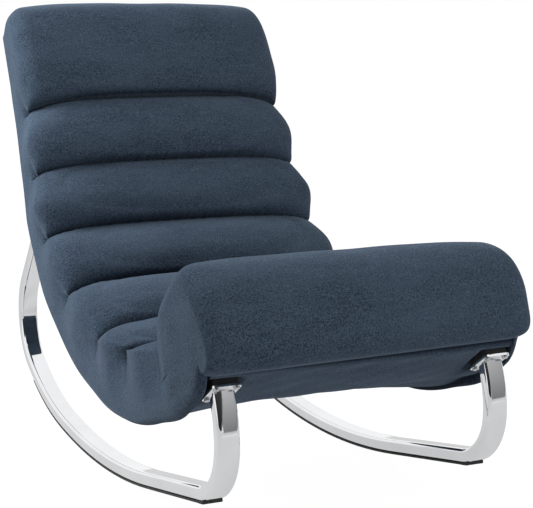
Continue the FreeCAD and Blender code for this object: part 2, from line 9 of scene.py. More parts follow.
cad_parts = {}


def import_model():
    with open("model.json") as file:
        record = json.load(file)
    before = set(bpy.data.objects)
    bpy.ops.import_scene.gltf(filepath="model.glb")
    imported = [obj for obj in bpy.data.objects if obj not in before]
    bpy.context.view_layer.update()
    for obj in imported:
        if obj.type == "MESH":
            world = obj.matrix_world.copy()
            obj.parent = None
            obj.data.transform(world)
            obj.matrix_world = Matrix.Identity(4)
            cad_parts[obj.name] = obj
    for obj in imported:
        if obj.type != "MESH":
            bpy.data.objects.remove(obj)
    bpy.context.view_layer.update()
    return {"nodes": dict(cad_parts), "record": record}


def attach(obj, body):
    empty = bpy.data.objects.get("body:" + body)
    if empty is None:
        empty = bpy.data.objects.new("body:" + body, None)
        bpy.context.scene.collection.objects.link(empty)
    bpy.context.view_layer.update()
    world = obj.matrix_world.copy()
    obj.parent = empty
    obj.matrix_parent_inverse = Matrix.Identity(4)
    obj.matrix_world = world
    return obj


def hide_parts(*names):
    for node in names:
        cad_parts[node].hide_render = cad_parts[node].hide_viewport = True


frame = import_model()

# Channel-padded rocking chaise. Lengths are in millimetres here and meshes in metres.
MM = 0.001

# Side profile of the shell: a straight back that runs tangent into one seat arc
CONTACT_Y = 57.578
SEAT_RADIUS = 635.0
SEAT_CENTRE = (CONTACT_Y - 218.0, 777.0)
BACK = math.radians(60.7)
SEAMS = (213.0, 59.0, -109.0, -303.0, -527.0, -730.0, -926.0)
SEAM_DROPS = (20.0, 14.0, 12.0, 14.0, 10.0, 0.0, 14.0)
FRAME_HEAD = 419.0
FRAME_FOOT = -1141.0

# Padding, from the head to the foot. Each roll runs from one channel seam to the next.
ROLLS = ("head_roll", "back_roll_upper", "back_roll_middle", "back_roll_lower",
         "seat_roll_rear", "seat_roll_middle", "seat_roll_front", "foot_bolster")
PAD_HALF = 300.0
WIDTH_STATIONS = (-1226.0, -1100.0, -830.0, -417.0, -205.0, -24.0, 133.0, 300.0, 453.0)
HALF_WIDTHS = (306.0, 306.0, 307.0, 310.0, 315.0, 313.0, 303.0, 296.0, 293.0)
PAD_BASE = 66.5
BACK_ROUND = 24.0
END_ROUND = 34.0
FOOT_ROUND = 38.0
CROWN_POWER = 3.3
VALLEY_SIDE = (83.0, 87.0, 87.0, 97.0, 106.0, 134.0, 112.0)
VALLEY_SWELL = (38.0, 38.0, 38.0, 38.0, 39.0, 4.0, 36.0)
CREST_SIDE = (18.0, 18.0, 18.0, 18.0, 15.0, 12.0)
CREST_MID = (44.0, 44.0, 44.0, 44.0, 40.0, 24.0)
ROLL_POWER = 2.15
SIDE_BULGE = 6.0
SIDE_PINCH = 8.0
ROWS = 34
COLUMNS = 116

# Back and underside panel, with dents for the front spacers
COVER_DEPTH = 18.0
COVER_THICKNESS = 2.0
PANEL_INSET = 19.0
PANEL_SWELL = 12.0
SPACER_STATION = -1083.0
DENT_HALF_WIDTH = 24.0
DENT_HALF_LENGTH = 34.0

# Cloth pass: its frames, the rounds that even it out and the most that a cover moves
CLOTH_FRAMES = 20
CLOTH_ROUNDS = 40
CLOTH_CAP = 6.0

# Seam number, depth, reach up and down the side and pull of each tuck
TUCKS = (
    (5, 122.0, 14.0, 50.0), (4, 106.0, 10.0, 15.0), (3, 97.0, 9.0, 12.0),
    (2, 88.0, 9.0, 11.0), (1, 88.0, 9.0, 11.0), (0, 84.0, 9.0, 11.0),
)

# Ends (station, depth), width and height of the creases in the side cover by the front plates
FOLDS = (
    ((-1000.0, 62.0), (-1090.0, 24.0), 5.0, 2.2), ((-1010.0, 40.0), (-1085.0, 10.0), 4.0, -2.0),
    ((-975.0, 58.0), (-1070.0, 44.0), 6.0, 1.6), ((-930.0, 28.0), (-1020.0, 8.0), 5.0, 1.4),
)

# Runner tube
RUNNER_X = 256.0
TUBE_WIDTH = 40.0
TUBE_HEIGHT = 25.0
TUBE_CORNER = 7.0
TUBE_CROWN = 0.45
LEG_TOP = (-550.755, 269.559)
LEG_HEADING = math.radians(-115)

# Kind, length or radius, and turn in degrees of each stretch of the tube's axis
RUNNER_SPANS = (
    ("line", 30.0, 0), ("arc", 200.0, 25), ("arc", 100.0, 80), ("line", 256.0, 0),
    ("arc", 1683.5, 18), ("arc", 630.0, 22), ("arc", 122.0, 102), ("line", 150.0, 0),
)

# Point and slope of the front and rear plates, which the tube is cut to
PLATES = (
    (Vector((0, *LEG_TOP)) * MM, math.radians(-33.068)),
    (Vector((0, 399.283, 464.568)) * MM, BACK),
)

# Camera fitted to the photo, in metres and degrees
CAMERA_PLACE = (-1.1825, -2.7283, 0.8392)
CAMERA_TILT = 81.751
CAMERA_TURN = -24.841
CAMERA_ROLL = -0.45
CAMERA_LENS = 101.31


def shell(station, depth):
    """Profile points (y, z): station counts up the back from the seat arc, depth in from the back face."""
    station = np.asarray(station, float)
    angle = BACK + np.minimum(station, 0.0) / SEAT_RADIUS
    radius = SEAT_RADIUS - np.asarray(depth, float)
    rise = np.maximum(station, 0.0)
    y = SEAT_CENTRE[0] + radius * np.sin(angle) + rise * math.cos(BACK)
    z = SEAT_CENTRE[1] - radius * np.cos(angle) + rise * math.sin(BACK)
    return y, z


def smooth(low, high, value):
    share = np.clip((value - low) / (high - low), 0.0, 1.0)
    return share * share * (3 - 2 * share)


def curve_through(points, shares):
    """Smooth curve through a few outline points, read at shares of its length."""
    points = np.array(points, float)
    ends = np.vstack([2 * points[0] - points[1], points, 2 * points[-1] - points[-2]])
    fine = []
    for number in range(1, len(ends) - 2):
        a, b, c, d = ends[number - 1:number + 3]
        for t in np.linspace(0, 1, 24, endpoint=False):
            fine.append(0.5 * (2 * b + (c - a) * t + (2 * a - 5 * b + 4 * c - d) * t ** 2
                               + (3 * b - a - 3 * c + d) * t ** 3))
    fine = np.array(fine + [points[-1]])
    length = np.concatenate([[0], np.cumsum(np.linalg.norm(np.diff(fine, axis=0), axis=1))])
    wanted = np.asarray(shares) * length[-1]
    return np.stack([np.interp(wanted, length, fine[:, axis]) for axis in range(2)], 1)


def link(name, mesh):
    piece = bpy.data.objects.new(name, mesh)
    bpy.context.scene.collection.objects.link(piece)
    return piece


def new_mesh(name, points, faces):
    mesh = bpy.data.meshes.new(name)
    mesh.from_pydata((np.asarray(points) * MM).tolist(), [], [list(map(int, face)) for face in faces])
    mesh.validate()
    mesh.polygons.foreach_set("use_smooth", [True] * len(mesh.polygons))
    return mesh


# Padding


def unrolled(points):
    """Station and depth of points, the reverse of shell()."""
    dy, dz = points[:, 1] - SEAT_CENTRE[0], points[:, 2] - SEAT_CENTRE[1]
    angle = np.arctan2(dy, -dz)
    straight = dy * math.cos(BACK) + dz * math.sin(BACK)
    on_back = angle > BACK
    station = np.where(on_back, np.maximum(straight, 0.0), (angle - BACK) * SEAT_RADIUS)
    reach = np.where(on_back, dy * math.sin(BACK) - dz * math.cos(BACK), np.hypot(dy, dz))
    return station, SEAT_RADIUS - reach


def evenly(curve, count):
    """Parameter values that cut a fine curve into steps of equal length."""
    length = np.concatenate([[0], np.cumsum(np.linalg.norm(np.diff(curve, axis=0), axis=1))])
    places = np.linspace(0, 1, len(curve))
    return np.interp(np.linspace(0, length[-1], count), length, places)


def crosswise():
    """Lateral shares of a roll's columns from left to right, close together over the shoulders."""
    fine = np.linspace(-1, 1, 4001)
    curve = np.stack([PAD_HALF * fine, 75 * (1 - np.abs(fine) ** CROWN_POWER) ** 0.5], 1)
    lateral = 2 * evenly(curve, COLUMNS + 1) - 1
    lateral[[0, -1]] = (-1.0, 1.0)
    return lateral


def roll_profiles(number):
    """Outlines of a back or seat roll, rows of (station, depth) from its upper seam to its lower one."""
    even = np.linspace(0, 1, ROWS + 1)
    share = 0.55 * (1 - np.cos(math.pi * even)) / 2 + 0.45 * even
    sag = share ** (1.26 if number < 4 else 1.12)
    swell = (1 - np.abs(2 * sag - 1) ** ROLL_POWER) ** (1 / ROLL_POWER)
    station = SEAMS[number - 1] + (SEAMS[number] - SEAMS[number - 1]) * share
    side = VALLEY_SIDE[number - 1] + (VALLEY_SIDE[number] - VALLEY_SIDE[number - 1]) * share
    arch = VALLEY_SWELL[number - 1] + (VALLEY_SWELL[number] - VALLEY_SWELL[number - 1]) * share
    drop = SEAM_DROPS[number - 1] + (SEAM_DROPS[number] - SEAM_DROPS[number - 1]) * share
    edge = np.stack([station - drop, side + CREST_SIDE[number - 1] * swell], 1)
    base = np.stack([station - drop, np.full(ROWS + 1, PAD_BASE)], 1)
    return {
        "middle": np.stack([station, side + arch + CREST_MID[number - 1] * swell], 1),
        "shoulder": edge, "edge": edge, "base": base,
        "bulge": (1 - np.cos(2 * math.pi * share)) / 2, "crown": 0.60 - 0.14 * swell,
        "round": END_ROUND,
    }


def head_profiles():
    """Outlines of the head roll, from its seam over the top to the back."""
    share = np.linspace(0, 1, ROWS + 21) ** 1.12
    return {
        "middle": curve_through([
            (213, 121), (212, 141), (228, 156), (274, 164), (332, 163), (388, 157), (428, 142),
            (452, 113), (460, 77), (455, 42), (440, 15), (420, 2)], share),
        "shoulder": curve_through([
            (193, 94), (193, 110), (209, 122), (258, 129), (315, 129), (370, 126), (413, 117),
            (440, 98), (450, 72), (447, 42), (436, 16), (420, 2)], share),
        "edge": curve_through([
            (193, 83), (198, 94), (217, 102), (260, 106), (313, 107), (360, 105), (394, 97),
            (413, 84), (421, 66), (421, 46), (420, 34), (419, 26)], share),
        "base": curve_through([
            (193, PAD_BASE), (214, PAD_BASE), (258, PAD_BASE), (312, PAD_BASE), (362, PAD_BASE),
            (396, PAD_BASE), (412, 63), (418, 50), (419, 36), (419, 26)], share),
        "bulge": smooth(0.0, 0.3, share), "crown": 0.60 - 0.14 * smooth(0.0, 0.12, share),
        "round": END_ROUND,
    }


def foot_profiles():
    """Outlines of the foot bolster, from its seam over the top and round the nose to the underside seam."""
    share = np.linspace(0, 1, ROWS + 35) ** 1.08
    return {
        "middle": curve_through([
            (-926, 148), (-931, 168), (-958, 189), (-1012, 205), (-1080, 213), (-1140, 212), (-1187, 202),
            (-1216, 177), (-1230, 142), (-1232, 106), (-1226, 70), (-1212, 36), (-1192, 8), (-1166, -4),
            (-1143, 4)], share),
        "shoulder": curve_through([
            (-940, 122), (-945, 140), (-974, 160), (-1026, 176), (-1085, 187), (-1140, 190), (-1188, 183),
            (-1216, 162), (-1228, 131), (-1229, 98), (-1222, 64), (-1208, 32), (-1189, 6), (-1166, -4),
            (-1143, 4)], share),
        "edge": curve_through([
            (-940, 110), (-947, 124), (-982, 139), (-1030, 153), (-1085, 163), (-1138, 165), (-1174, 160),
            (-1196, 148), (-1207, 127), (-1207, 101), (-1202, 76), (-1195, 53), (-1188, 32), (-1180, 17),
            (-1166, 9), (-1143, 13)], share),
        "base": curve_through([
            (-940, PAD_BASE), (-985, PAD_BASE), (-1030, PAD_BASE), (-1085, PAD_BASE), (-1118, PAD_BASE),
            (-1134, 63), (-1141, 52), (-1143, 32), (-1143, 13)], share),
        "bulge": smooth(0.0, 0.25, share), "crown": 0.60 - 0.16 * smooth(0.0, 0.12, share),
        "round": FOOT_ROUND,
    }


def width_at(station, bulge, depth):
    """Half width of the padding: the rolls swell out at the sides and draw in at the seams."""
    swell = (SIDE_BULGE * bulge - SIDE_PINCH * (1 - bulge)) * smooth(20.0, 105.0, depth)
    return np.interp(station, WIDTH_STATIONS, HALF_WIDTHS) + swell


def foot_seam_drop(station, depth, x):
    """The bolster's lower seam hangs lower at the sitter's right."""
    drop = -6.0 * np.clip(-x / PAD_HALF, -1, 1) * smooth(-1080.0, -1150.0, station)
    return drop * smooth(90.0, 20.0, depth)


def roll_points(profiles):
    """Skin of a roll as a grid of points, rows along the shell and columns across it."""
    lateral = crosswise()
    span = np.abs(lateral)[None, :]
    shape = {key: np.expand_dims(value, 1) for key, value in profiles.items() if key != "round"}
    crown = (1 - span ** CROWN_POWER) ** shape["crown"]
    turn = np.clip((span * PAD_HALF - PAD_HALF) / profiles["round"] + 1, 0, 1)
    fillet = np.sqrt(1 - turn ** 2)
    top = (shape["edge"] + (shape["shoulder"] - shape["edge"]) * fillet[..., None]
           + (shape["middle"] - shape["shoulder"]) * crown[..., None])
    rises = np.array([0.0, 0.2, 0.4, 0.6, 0.8])[None, :, None]
    rise = shape["base"] + (shape["edge"] - shape["base"]) * rises
    place = np.concatenate([rise, top, rise[:, ::-1]], 1)
    sides = np.ones(rises.shape[1])
    across = np.concatenate([-sides, lateral, sides])[None, :]
    station, depth = place[..., 0], place[..., 1]
    x = across * width_at(station, shape["bulge"], depth)
    y, z = shell(station, depth + foot_seam_drop(station, depth, x))
    return np.stack([x, y, z], -1)


def grid_faces(rows, columns):
    faces = []
    for row in range(rows - 1):
        for column in range(columns - 1):
            first = row * columns + column
            faces.append((first, first + 1, first + columns + 1, first + columns))
    return faces


def padded_piece(name, points):
    """Closed piece from a skin grid, with an end wall at each seam and a plain base; its rim stays fixed."""
    rows, columns = points.shape[:2]
    faces = grid_faces(rows, columns)
    faces.append(range(columns - 1, -1, -1))
    faces.append(range((rows - 1) * columns, rows * columns))
    for row in range(rows - 1):
        left = row * columns
        right = left + columns - 1
        faces.append((left, left + columns, right + columns, right))
    index = np.arange(rows * columns).reshape(rows, columns)
    rim = np.concatenate([index[0], index[-1], index[:, 0], index[:, -1]])
    return finished_pad(name, points.reshape(-1, 3), faces, rim)


def side_band(name, side):
    """Padded band over the frame's side, from under the rolls round the back edge to the inner lip."""
    stations = np.linspace(FRAME_HEAD, FRAME_FOOT - 2, 220)
    wave = band_wave(stations)[:, None]
    outer = [(0, depth) for depth in (PAD_BASE, 58, 49, 40, 32)]
    turn = [(BACK_ROUND - BACK_ROUND * math.cos(a), BACK_ROUND - BACK_ROUND * math.sin(a))
            for a in np.linspace(0.1, 0.98, 7)]
    lip = [(12.5, 1.8), (15.0, 2.2), (17.5, 4.0), (19.0, 8.0)]
    inner = [(20.0, depth) for depth in (20, 45, PAD_BASE)]
    section = np.array(outer + turn + lip + inner)
    inset, depth = section[None, :, 0], section[None, :, 1]
    lift = 2.0 * smooth(-330.0, -560.0, stations) + 10.0 * smooth(-1100.0, -1143.0, stations)
    lift -= 13.0 * smooth(-880.0, -1010.0, stations) * smooth(-1150.0, -1085.0, stations)
    scallop = (2.0 - 4.0 * wave) * smooth(-780.0, -560.0, stations)[:, None]
    depth = depth + (lift[:, None] + scallop) * smooth(50.0, 0.0, depth)
    along = np.repeat(stations[:, None], len(section), 1)
    x = side * (width_at(along, wave, depth) - inset)
    y, z = shell(along, depth)
    points = np.stack([x, y, z], -1)
    rows, columns = points.shape[:2]
    faces = grid_faces(rows, columns)
    for row in range(rows - 1):
        first = row * columns
        faces.append((first + columns - 1, first, first + columns, first + 2 * columns - 1))
    faces.append(range(columns - 1, -1, -1))
    faces.append(range((rows - 1) * columns, rows * columns))
    if side > 0:
        faces = [tuple(face)[::-1] for face in faces]
    index = np.arange(rows * columns).reshape(rows, columns)
    rim = np.concatenate([index[0], index[-1], index[:, 0], index[:, -6:].ravel()])
    return finished_pad(name, points.reshape(-1, 3), faces, rim)


def band_wave(stations):
    """Swell of the side band: 1 beside the middle of a roll, 0 beside a seam."""
    seams = np.array(SEAMS) - np.array(SEAM_DROPS)
    wave = np.ones_like(stations)
    for upper, lower in zip(seams, seams[1:]):
        inside = (stations <= upper) & (stations >= lower)
        wave[inside] = (1 - np.cos(2 * math.pi * (upper - stations[inside]) / (upper - lower))) / 2
    wave[stations > seams[0]] = smooth(0.0, 75.0, stations[stations > seams[0]] - seams[0])
    wave[stations < seams[-1]] = smooth(0.0, 75.0, seams[-1] - stations[stations < seams[-1]])
    return wave


def finished_pad(name, points, faces, rim):
    """Mesh piece whose rim vertices are pinned in the cloth pass and stay sharp when it is subdivided."""
    piece = link(name, new_mesh(name, points, faces))
    piece.vertex_groups.new(name="rim").add([int(index) for index in set(rim.tolist())], 1.0, "REPLACE")
    held = np.zeros(len(points), bool)
    held[rim] = True
    ends = np.zeros(len(piece.data.edges) * 2, int)
    piece.data.edges.foreach_get("vertices", ends)
    fixed = held[ends.reshape(-1, 2)].all(1)
    piece.data.attributes.new("crease_edge", "FLOAT", "EDGE").data.foreach_set("value", fixed.astype(float))
    piece.data.attributes.new("sharp_edge", "BOOLEAN", "EDGE").data.foreach_set("value", fixed)
    return piece


def back_panel(name):
    """Fabric panel over the back and underside, set in between the side bands and drawn in under the seat."""
    stations = np.linspace(FRAME_HEAD, FRAME_FOOT - 3, 240)[:, None]
    lateral = np.linspace(-1, 1, 81)[None, :]
    reach = np.interp(stations, WIDTH_STATIONS, HALF_WIDTHS) - PANEL_INSET
    hollow = 11.0 * smooth(-560.0, -760.0, stations) * smooth(-1010.0, -860.0, stations)
    flush = 3.0 * smooth(-1095.0, -1143.0, stations) + 6.0 * smooth(395.0, 419.0, stations)
    bow = 1 - np.abs(lateral) ** 2.2
    depth = COVER_DEPTH - flush + hollow * (1.6 * bow - 0.6) - 2.0 * bow
    depth = depth + 0.9 * ripple(stations / 34 + lateral * 1.7, lateral * 5.0) * (1 - lateral ** 8)
    beside = np.abs(np.abs(lateral * reach) - RUNNER_X) - DENT_HALF_WIDTH
    dent = np.maximum(beside, np.abs(stations - SPACER_STATION) - DENT_HALF_LENGTH)
    depth = depth - PANEL_SWELL * smooth(-930.0, -1020.0, stations) * smooth(1.0, 9.0, dent)
    tucked = smooth(-1128.0, -1144.0, stations)
    depth = depth + 7.0 * tucked + foot_seam_drop(-1150.0, 10.0, lateral * reach) * tucked
    layers = []
    for thickness in (0.0, COVER_THICKNESS):
        y, z = shell(stations, depth + thickness)
        layers.append(np.stack([lateral * reach, y, z], -1))
    rows, columns = layers[0].shape[:2]
    count = rows * columns
    outer = [face[::-1] for face in grid_faces(rows, columns)]
    inner = [tuple(index + count for index in face) for face in grid_faces(rows, columns)]
    rim = [row * columns for row in range(rows)]
    rim += [(rows - 1) * columns + column for column in range(1, columns)]
    rim += [row * columns + columns - 1 for row in range(rows - 2, -1, -1)]
    rim += list(range(columns - 2, 0, -1))
    edge = [(a, b, b + count, a + count) for a, b in zip(rim, rim[1:] + rim[:1])]
    points = np.concatenate([layer.reshape(-1, 3) for layer in layers])
    mesh = new_mesh(name, points, outer + inner + edge)
    # Painted shade along the panel's long edges, where it meets the side bands, and over its last rows at the
    # foot seam.
    panel_edge_shade = 0.7 * smooth(0.98, 1.0, np.abs(lateral)) + 0 * stations
    panel_edge_shade[-2:] = 1.0
    mesh.attributes.new("painted_seam_shade", "FLOAT", "POINT").data.foreach_set("value", np.tile(panel_edge_shade.ravel(), 2))
    return link(name, mesh)


def ripple(u, v):
    """Smooth uneven waves between about -1 and 1."""
    return (np.sin(1.9 * u + 0.7 * v + 0.3) + np.sin(2.7 * u - 1.6 * v + 1.9)
            + np.sin(4.3 * u + 2.3 * v + 4.1) + np.sin(0.8 * u + 3.4 * v + 2.2)) / 3


def puff(pieces):
    """Cloth pass: each cover is blown up a little against its pinned seams, and the movement is capped."""
    scene = bpy.context.scene
    for piece in pieces:
        cloth = piece.modifiers.new("cloth", "CLOTH")
        cloth.point_cache.frame_start, cloth.point_cache.frame_end = 1, CLOTH_FRAMES
        cloth.collision_settings.use_collision = False
        settings = cloth.settings
        settings.vertex_group_mass = "rim"
        settings.quality = 5
        settings.mass = 0.25
        settings.tension_stiffness = settings.compression_stiffness = 15.0
        settings.shear_stiffness = 6.0
        settings.bending_stiffness = 6.0
        settings.use_pressure = True
        settings.uniform_pressure_force = 4.0
        settings.effector_weights.gravity = 0.0
    for number in range(1, CLOTH_FRAMES + 1):
        scene.frame_set(number)
    graph = bpy.context.evaluated_depsgraph_get()
    for piece in pieces:
        before = coordinates(piece.data)
        moved = piece.evaluated_get(graph).to_mesh()
        shift = coordinates(moved) - before
        piece.evaluated_get(graph).to_mesh_clear()
        free = np.array([len(vertex.groups) == 0 for vertex in piece.data.vertices], float)[:, None]
        above = smooth(62.0, 108.0, unrolled(before / MM)[1])[:, None]
        shift = evened(piece.data, shift * above, free, CLOTH_ROUNDS) * above
        length = np.linalg.norm(shift, axis=1, keepdims=True)
        shift *= np.minimum(1.0, CLOTH_CAP * MM / np.maximum(length, 1e-9))
        piece.modifiers.clear()
        piece.data.vertices.foreach_set("co", (before + shift).ravel())
    scene.frame_set(1)


def evened(mesh, values, free, rounds):
    """Values of a mesh's vertices, averaged with their neighbours and held at zero where not free."""
    ends = np.zeros(len(mesh.edges) * 2, int)
    mesh.edges.foreach_get("vertices", ends)
    first, second = ends.reshape(-1, 2).T
    count = np.maximum(np.bincount(ends, minlength=len(values)), 1)[:, None]
    for step in range(rounds):
        total = np.zeros_like(values)
        np.add.at(total, first, values[second])
        np.add.at(total, second, values[first])
        values = free * (values + total / count) / 2
    return values


def coordinates(mesh):
    flat = np.zeros(len(mesh.vertices) * 3)
    mesh.vertices.foreach_get("co", flat)
    return flat.reshape(-1, 3)


def subdivided(piece):
    """One subdivision, applied."""
    piece.modifiers.new("finer", "SUBSURF").levels = 1
    graph = bpy.context.evaluated_depsgraph_get()
    finer = bpy.data.meshes.new_from_object(piece.evaluated_get(graph))
    piece.modifiers.clear()
    piece.vertex_groups.clear()
    piece.data = finer


def sewn(piece):
    """Puckers beside the seams, an uneven fill, tucks at the seams' ends, creases by the front plates, and a
    mask of painted shade in the seams, tucks, side band lip and lower welt.
    """
    points = coordinates(piece.data) / MM
    normals = np.zeros(points.size)
    piece.data.vertices.foreach_get("normal", normals)
    normals = normals.reshape(-1, 3)
    station, depth = unrolled(points)
    x = points[:, 0]
    span = np.clip(np.abs(x) / PAD_HALF, 0, 1.05)
    seams = [np.abs(station + drop * span ** CROWN_POWER - seam) for seam, drop in zip(SEAMS, SEAM_DROPS)]
    near = np.min(seams, 0)
    above = smooth(68.0, 84.0, depth)
    # Painted shade: the colour is darkened in the creases along the channel seams, where shade falls.
    painted_seam_shade = 0.8 * np.exp(-near / 2.5) * above
    # Painted shade along the side band's inner lip, where it meets the back panel, and along the bolster's
    # lower welt seam at the foot end.
    inside = (station > FRAME_FOOT - 2) & (station < FRAME_HEAD)
    lip = smooth(-15.0, -18.0, np.abs(x) - width_at(station, 0.5, depth)) * smooth(0.0, 8.0, depth)
    lip = 0.7 * lip * smooth(40.0, 24.0, depth) * inside
    welt_shade = smooth(8.0, 2.0, np.hypot(station - FRAME_FOOT + 2, depth - 6))
    painted_seam_shade = np.maximum(painted_seam_shade, np.maximum(lip, welt_shade))
    pucker = 0.9 * np.exp(-near / 11.0) * ripple(x / 9.0, station / 150.0) * above
    fill = 0.9 * ripple(x / 95.0, station / 80.0) * above * smooth(0.0, 30.0, near)
    points = points + normals * (pucker + fill)[:, None]
    on_side = smooth(0.93, 0.985, span) * np.sign(x)
    for number, place, length, pull in TUCKS:
        away = station - SEAMS[number] + SEAM_DROPS[number]
        pinch = np.exp(-np.maximum(away / 15.0, -away / 3.0) - ((depth - place) / length) ** 2)
        points[:, 0] -= on_side * pull * pinch
        # Painted shade deepening into each tuck.
        painted_seam_shade = np.maximum(painted_seam_shade, np.abs(on_side) * pinch * min(1.0, pull / 40))
    for start, finish, width, height in FOLDS:
        along = np.array(finish) - np.array(start)
        across = np.stack([station, depth], 1) - np.array(start)
        reach = np.clip(across @ along / (along @ along), 0, 1)
        away = np.linalg.norm(across - reach[:, None] * along, axis=1)
        ridge = on_side * height * np.exp(-(away / width) ** 2)
        points[:, 0] += ridge * np.sin(math.pi * (0.1 + 0.8 * reach))
    piece.data.vertices.foreach_set("co", (points * MM).ravel())
    piece.data.attributes.new("painted_seam_shade", "FLOAT", "POINT").data.foreach_set("value", painted_seam_shade)
    piece.data.update()


# Runner


def turned(point, angle, distance):
    return (point[0] + distance * math.cos(angle), point[1] + distance * math.sin(angle))


def runner_line():
    """Points and headings of the tube's axis, from the leg's top round to the rear riser."""
    heading = LEG_HEADING
    point = turned(LEG_TOP, heading, -RUNNER_SPANS[0][1])
    line = []
    for kind, size, sweep in RUNNER_SPANS:
        steps = max(2, round((size if kind == "line" else size * math.radians(sweep)) / 5))
        if kind == "line":
            line += [(turned(point, heading, size * step / steps), heading) for step in range(steps)]
            point = turned(point, heading, size)
        else:
            centre = turned(point, heading + math.pi / 2, size)
            for step in range(steps):
                angle = heading + math.radians(sweep) * step / steps
                line.append((turned(centre, angle - math.pi / 2, size), angle))
            heading += math.radians(sweep)
            point = turned(centre, heading - math.pi / 2, size)
    return line + [(point, heading)]


def tube_section():
    """Rounded rectangle across the tube: (sideways, to the left of the heading)."""
    x, y = TUBE_WIDTH / 2 - TUBE_CORNER, TUBE_HEIGHT / 2 - TUBE_CORNER
    section = []
    for sx, sy, start in ((1, -1, -90), (1, 1, 0), (-1, 1, 90), (-1, -1, 180)):
        for angle in np.radians(np.linspace(start, start + 90, 9)):
            section.append((sx * x + TUBE_CORNER * math.cos(angle), sy * y + TUBE_CORNER * math.sin(angle)))
        if sx == sy:
            section += [(across, sy * TUBE_HEIGHT / 2) for across in sy * np.linspace(x, -x, 9)[1:-1]]
    return section


def runner(name, x):
    """Chromed tube swept along its line and cut square to its two plates."""
    section = tube_section()
    flat = TUBE_WIDTH / 2 - TUBE_CORNER
    points = []
    for (y, z), heading in runner_line():
        for across, left in section:
            crown = TUBE_CROWN * max(0.0, 1 - (across / flat) ** 2) * smooth(60.0, 120.0, z)
            left += math.copysign(crown, left)
            points.append((x + across, y - left * math.sin(heading), z + left * math.cos(heading)))
    count = len(section)
    rings = len(points) // count
    faces = []
    for ring in range(rings - 1):
        for index in range(count):
            first, second = ring * count + index, ring * count + (index + 1) % count
            faces.append((second, first, first + count, second + count))
    mesh = new_mesh(name, points, faces)
    cutter = bmesh.new()
    cutter.from_mesh(mesh)
    for place, slope in PLATES:
        normal = Vector((0, -math.sin(slope), math.cos(slope)))
        near = [v for v in cutter.verts if (v.co - place).yz.length < 0.2]
        edges = {edge for vert in near for edge in vert.link_edges}
        found = {face for vert in near for face in vert.link_faces}
        bmesh.ops.bisect_plane(
            cutter, geom=near + list(edges) + list(found), plane_co=place, plane_no=normal, clear_outer=True)
    cutter.to_mesh(mesh)
    cutter.free()
    mesh.polygons.foreach_set("use_smooth", [True] * len(mesh.polygons))
    return link(name, mesh)


# Materials


class Shader:
    """A material with a principled shader and short calls to add and join its nodes."""

    def __init__(self, name):
        self.material = bpy.data.materials.new(name)
        self.material.use_nodes = True
        self.tree = self.material.node_tree
        self.shader = self.tree.nodes["Principled BSDF"]
        self.coordinates = self.tree.nodes.new("ShaderNodeTexCoord").outputs["Object"]

    def node(self, kind, inputs=(), **settings):
        node = self.tree.nodes.new("ShaderNode" + kind)
        for key, value in settings.items():
            setattr(node, key, value)
        for key, value in dict(inputs).items():
            self.put(node.inputs[key], value)
        return node

    def put(self, socket, value):
        if isinstance(value, bpy.types.NodeSocket):
            self.tree.links.new(value, socket)
        else:
            socket.default_value = value

    def set(self, **values):
        for key, value in values.items():
            self.put(self.shader.inputs[key.replace("_", " ")], value)

    def noise(self, scale, detail=3.0, rough=0.55, vector=None):
        inputs = {"Scale": scale, "Detail": detail, "Roughness": rough, "Vector": vector or self.coordinates}
        return self.node("TexNoise", inputs).outputs["Fac"]

    def span(self, value, low, high, out_low=0.0, out_high=1.0):
        inputs = {"Value": value, "From Min": low, "From Max": high, "To Min": out_low, "To Max": out_high}
        return self.node("MapRange", inputs).outputs["Result"]

    def mix(self, share, first, second):
        node = self.node("Mix", data_type="RGBA")
        self.put(node.inputs["Factor"], share)
        self.put(node.inputs[6], first)
        self.put(node.inputs[7], second)
        return node.outputs[2]

    def math(self, operation, first, second):
        node = self.node("Math", operation=operation)
        self.put(node.inputs[0], first)
        self.put(node.inputs[1], second)
        return node.outputs[0]

    def bump(self, height, strength, distance, normal=None):
        node = self.node("Bump", {"Height": height, "Strength": strength, "Distance": distance})
        if normal is not None:
            self.put(node.inputs["Normal"], normal)
        return node.outputs["Normal"]


def chenille():
    """Slate-navy chenille: short soft tufts, a mottled pile, a pale sheen where it is seen edge on, and
    painted shade darkening its seams.
    """
    m = Shader("chenille")
    tufts = m.node("TexVoronoi", {"Scale": 480.0, "Vector": m.coordinates}).outputs["Distance"]
    grain = m.noise(370.0, 4.0, 0.7)
    brushed = m.node("Mapping", {"Vector": m.coordinates, "Scale": (0.35, 1.0, 1.0)}).outputs["Vector"]
    streaks = m.noise(95.0, 4.0, 0.65, brushed)
    patches = m.noise(16.0, 4.0, 0.6, brushed)
    dark = (0.008, 0.014, 0.025, 1)
    mid = (0.029, 0.045, 0.070, 1)
    light = (0.094, 0.132, 0.186, 1)
    speckled = m.mix(m.span(grain, 0.38, 0.62), dark, light)
    colour = m.mix(m.span(streaks, 0.35, 0.65, 0.1, 0.55), speckled, mid)
    colour = m.mix(m.span(patches, 0.35, 0.7, 0.0, 0.30), colour, light)
    # Painted shade: the colour is darkened towards near black by the seam-shade mask, in the seams, tucks and
    # creases.
    painted_seam_shade = m.node("Attribute", attribute_name="painted_seam_shade").outputs["Fac"]
    colour = m.mix(m.math("MULTIPLY", painted_seam_shade, 0.85), colour, (0.003, 0.005, 0.009, 1))
    height = m.math("ADD", grain, m.math("MULTIPLY", tufts, -0.6))
    normal = m.bump(height, 0.55, 0.0016)
    m.set(Base_Color=colour, Roughness=m.span(grain, 0.3, 0.7, 0.86, 1.0), Normal=normal)
    m.set(Sheen_Weight=0.25, Sheen_Roughness=0.4, Sheen_Tint=(0.55, 0.70, 0.90, 1), IOR=1.2)
    return m.material


